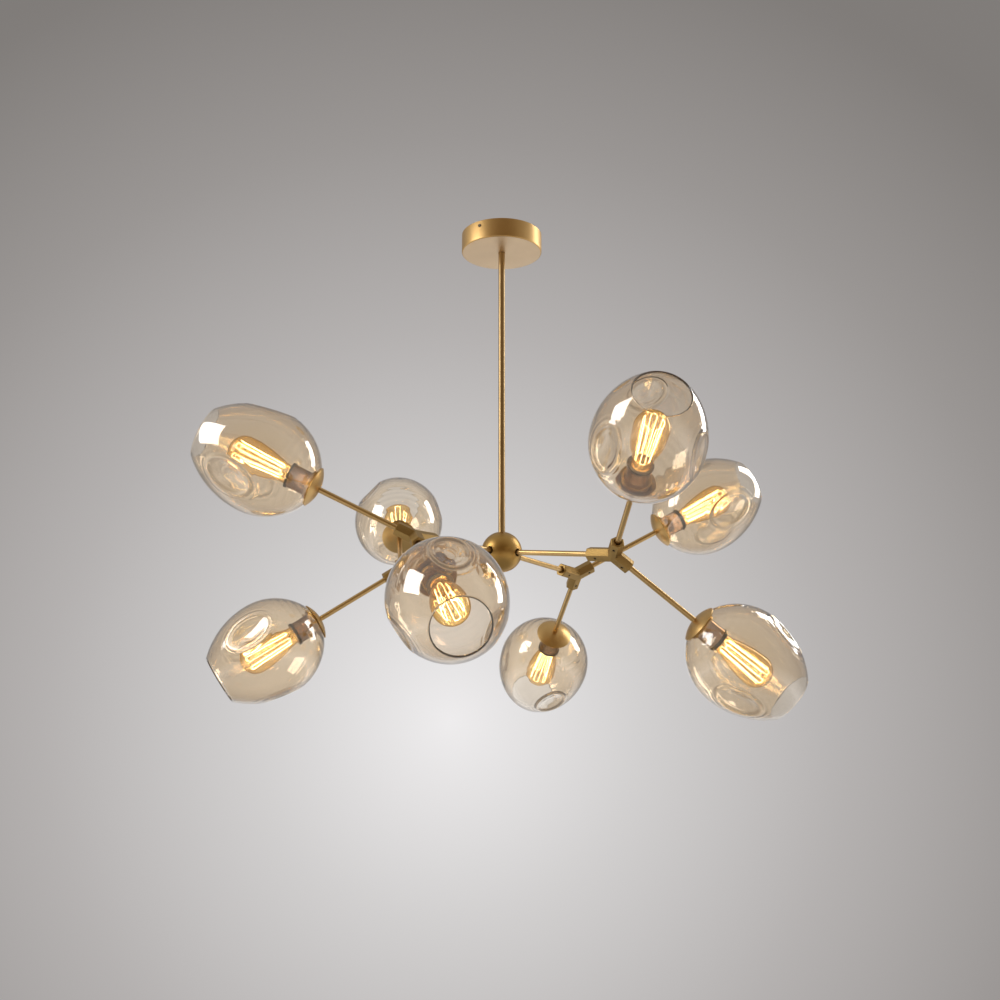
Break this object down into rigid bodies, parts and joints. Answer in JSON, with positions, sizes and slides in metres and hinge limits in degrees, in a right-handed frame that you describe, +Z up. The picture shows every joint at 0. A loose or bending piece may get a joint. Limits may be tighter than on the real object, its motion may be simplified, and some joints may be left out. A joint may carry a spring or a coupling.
{
  "type": "branching glass chandelier",
  "caption": "Branching ceiling light with a round canopy, rigid stem, central ball, Y-shaped hubs and arms that end in dimpled amber glass shades with filament bulbs.",
  "frame": {"origin": "centre of the mounting plate on the ceiling, on the stem axis", "axes": "+Z up to the ceiling, the light hangs towards -Z; -Y is the front seen in the picture and +X is to the right"},
  "size_m": [0.8734, 0.898, 0.7581],
  "materials": {
    "canopy_brass": "satin",
    "stem_brass": "satin",
    "ball_brass": "satin antique",
    "arm_brass": "satin",
    "hub_brass": "satin",
    "cap_brass": "satin",
    "ring_brass": "polished",
    "holder_bronze": "satin bronze",
    "screw_steel": "blackened",
    "plate_steel": "zinc plated",
    "terminal_plastic": "matte",
    "cable_jacket": "matte",
    "shade_glass": "clear champagne tint",
    "bulb_glass": "clear amber",
    "bulb_base": "polished",
    "filament": "glowing"
  },
  "bodies": {
    "ceiling_fixing": {"mounting_plate": "plate_steel", "stem_collar": "plate_steel", "collar_nut": "plate_steel", "terminal_block": "terminal_plastic"},
    "canopy": {"canopy": "canopy_brass", "canopy_screws": "screw_steel"},
    "stem": {"stem": "stem_brass", "ball_cap": "ball_brass", "ball_shell": "ball_brass", "ball_core": "plate_steel", "core_screws": "screw_steel", "wiring": "cable_jacket", "ball_arm_1": "arm_brass", "ball_arm_2": "arm_brass", "ball_arm_3": "arm_brass", "ball_arm_4": "arm_brass"},
    "hub_1": {"hub_1": "hub_brass", "hub_screws_1": "screw_steel", "lamp_arms_1": "arm_brass", "lamp_wires_1": "cable_jacket", "shade_caps_1": "cap_brass", "lamp_holders_1": "holder_bronze", "shade_rings_1": "ring_brass", "shade_1": "shade_glass", "shade_2": "shade_glass"},
    "bulb_1": {"bulb_1": "bulb_glass"},
    "bulb_2": {"bulb_2": "bulb_glass"},
    "hub_2": {"hub_2": "hub_brass", "hub_screws_2": "screw_steel", "lamp_arms_2": "arm_brass", "lamp_wires_2": "cable_jacket", "shade_caps_2": "cap_brass", "lamp_holders_2": "holder_bronze", "shade_rings_2": "ring_brass", "shade_3": "shade_glass", "shade_4": "shade_glass"},
    "bulb_3": {"bulb_3": "bulb_glass"},
    "bulb_4": {"bulb_4": "bulb_glass"},
    "hub_3": {"hub_3": "hub_brass", "hub_screws_3": "screw_steel", "lamp_arms_3": "arm_brass", "lamp_wires_3": "cable_jacket", "shade_caps_3": "cap_brass", "lamp_holders_3": "holder_bronze", "shade_rings_3": "ring_brass", "shade_5": "shade_glass", "shade_6": "shade_glass"},
    "bulb_5": {"bulb_5": "bulb_glass"},
    "bulb_6": {"bulb_6": "bulb_glass"},
    "hub_4": {"hub_4": "hub_brass", "hub_screws_4": "screw_steel", "lamp_arms_4": "arm_brass", "lamp_wires_4": "cable_jacket", "shade_caps_4": "cap_brass", "lamp_holders_4": "holder_bronze", "shade_rings_4": "ring_brass", "shade_7": "shade_glass", "shade_8": "shade_glass"},
    "bulb_7": {"bulb_7": "bulb_glass"},
    "bulb_8": {"bulb_8": "bulb_glass"}
  },
  "joints": [
    {"name": "canopy_slide", "type": "slide", "parent": "ceiling_fixing", "child": "canopy", "axis": [0, 0, -1], "range_m": [0, 0.3]},
    {"name": "stem_swivel", "type": "hinge", "parent": "ceiling_fixing", "child": "stem", "pos_m": [0, 0, -0.0125], "axis": [0, 0, 1], "range_deg": [-90, 90]},
    {"name": "hub_turn_1", "type": "hinge", "parent": "stem", "child": "hub_1", "pos_m": [0.11828, 0.15753, -0.50806], "axis": [0.6004, 0.7996, -0.0105], "range_deg": [-90, 90]},
    {"name": "hub_turn_2", "type": "hinge", "parent": "stem", "child": "hub_2", "pos_m": [-0.15751, 0.11826, -0.50944], "axis": [-0.7996, 0.6003, -0.0175], "range_deg": [-90, 90]},
    {"name": "hub_turn_3", "type": "hinge", "parent": "stem", "child": "hub_3", "pos_m": [-0.11801, -0.15717, -0.5194], "axis": [-0.599, -0.7978, -0.068], "range_deg": [-90, 90]},
    {"name": "hub_turn_4", "type": "hinge", "parent": "stem", "child": "hub_4", "pos_m": [0.15581, -0.11698, -0.53512], "axis": [0.7909, -0.5938, -0.1478], "range_deg": [-90, 90]},
    {"name": "bulb_pull_1", "type": "slide", "parent": "hub_1", "child": "bulb_1", "axis": [0.8765, 0.0529, 0.4785], "range_m": [0, 0.165]},
    {"name": "bulb_pull_2", "type": "slide", "parent": "hub_1", "child": "bulb_2", "axis": [-0.1998, 0.8483, -0.4903], "range_m": [0, 0.165]},
    {"name": "bulb_pull_3", "type": "slide", "parent": "hub_2", "child": "bulb_3", "axis": [-0.0838, 0.8426, 0.5321], "range_m": [0, 0.165]},
    {"name": "bulb_pull_4", "type": "slide", "parent": "hub_2", "child": "bulb_4", "axis": [-0.8174, -0.166, -0.5517], "range_m": [0, 0.165]},
    {"name": "bulb_pull_5", "type": "slide", "parent": "hub_3", "child": "bulb_5", "axis": [-0.8962, -0.0708, 0.4379], "range_m": [0, 0.165]},
    {"name": "bulb_pull_6", "type": "slide", "parent": "hub_3", "child": "bulb_6", "axis": [0.2211, -0.8284, -0.5146], "range_m": [0, 0.165]},
    {"name": "bulb_pull_7", "type": "slide", "parent": "hub_4", "child": "bulb_7", "axis": [0.1176, -0.8979, 0.4242], "range_m": [0, 0.165]},
    {"name": "bulb_pull_8", "type": "slide", "parent": "hub_4", "child": "bulb_8", "axis": [0.7738, 0.2286, -0.5908], "range_m": [0, 0.165]}
  ]
}
